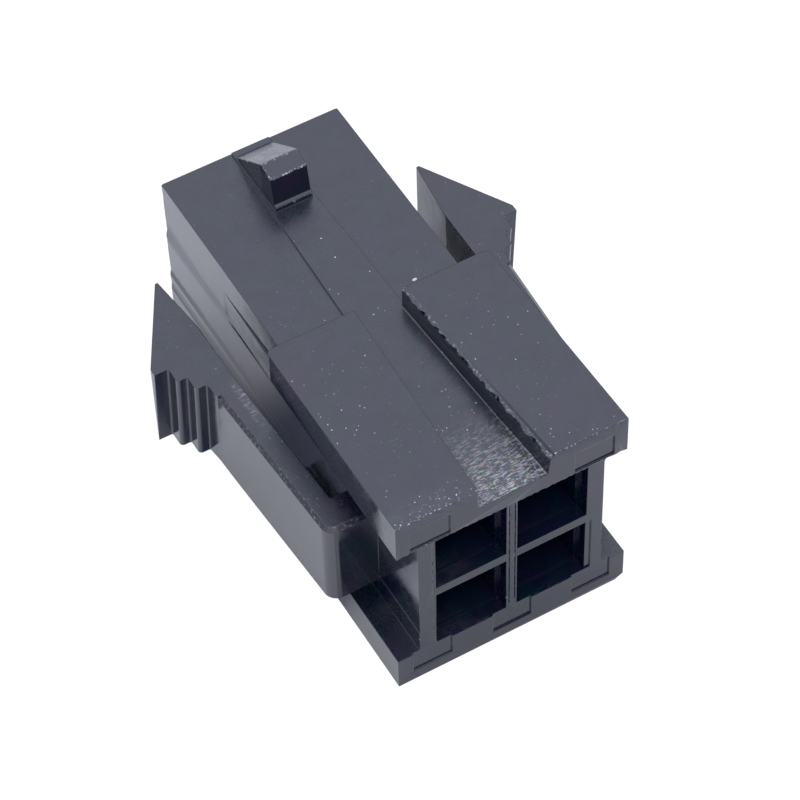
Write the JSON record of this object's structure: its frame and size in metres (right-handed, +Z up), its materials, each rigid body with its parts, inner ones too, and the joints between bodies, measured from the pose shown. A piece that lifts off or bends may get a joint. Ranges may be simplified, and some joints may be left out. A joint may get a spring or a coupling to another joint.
{
  "type": "panel mount wire connector housing",
  "caption": "Plug housing of a small rectangular wire-to-wire power connector, moulded in one piece, with wire cavities, a mating socket, a latch ramp, panel stop plates and snap ears.",
  "frame": {"origin": "middle of the bounding box at the underside of the bottom stop plate", "axes": "+Y from the wire end to the mating end, +X across the ears, +Z up towards the latch ramp"},
  "size_m": [0.0138, 0.0172, 0.009],
  "materials": {
    "black_nylon": "moulded black nylon, semi-gloss, with worn and dusty spots"
  },
  "bodies": {
    "root": {"connector_housing": "black_nylon"}
  },
  "joints": []
}
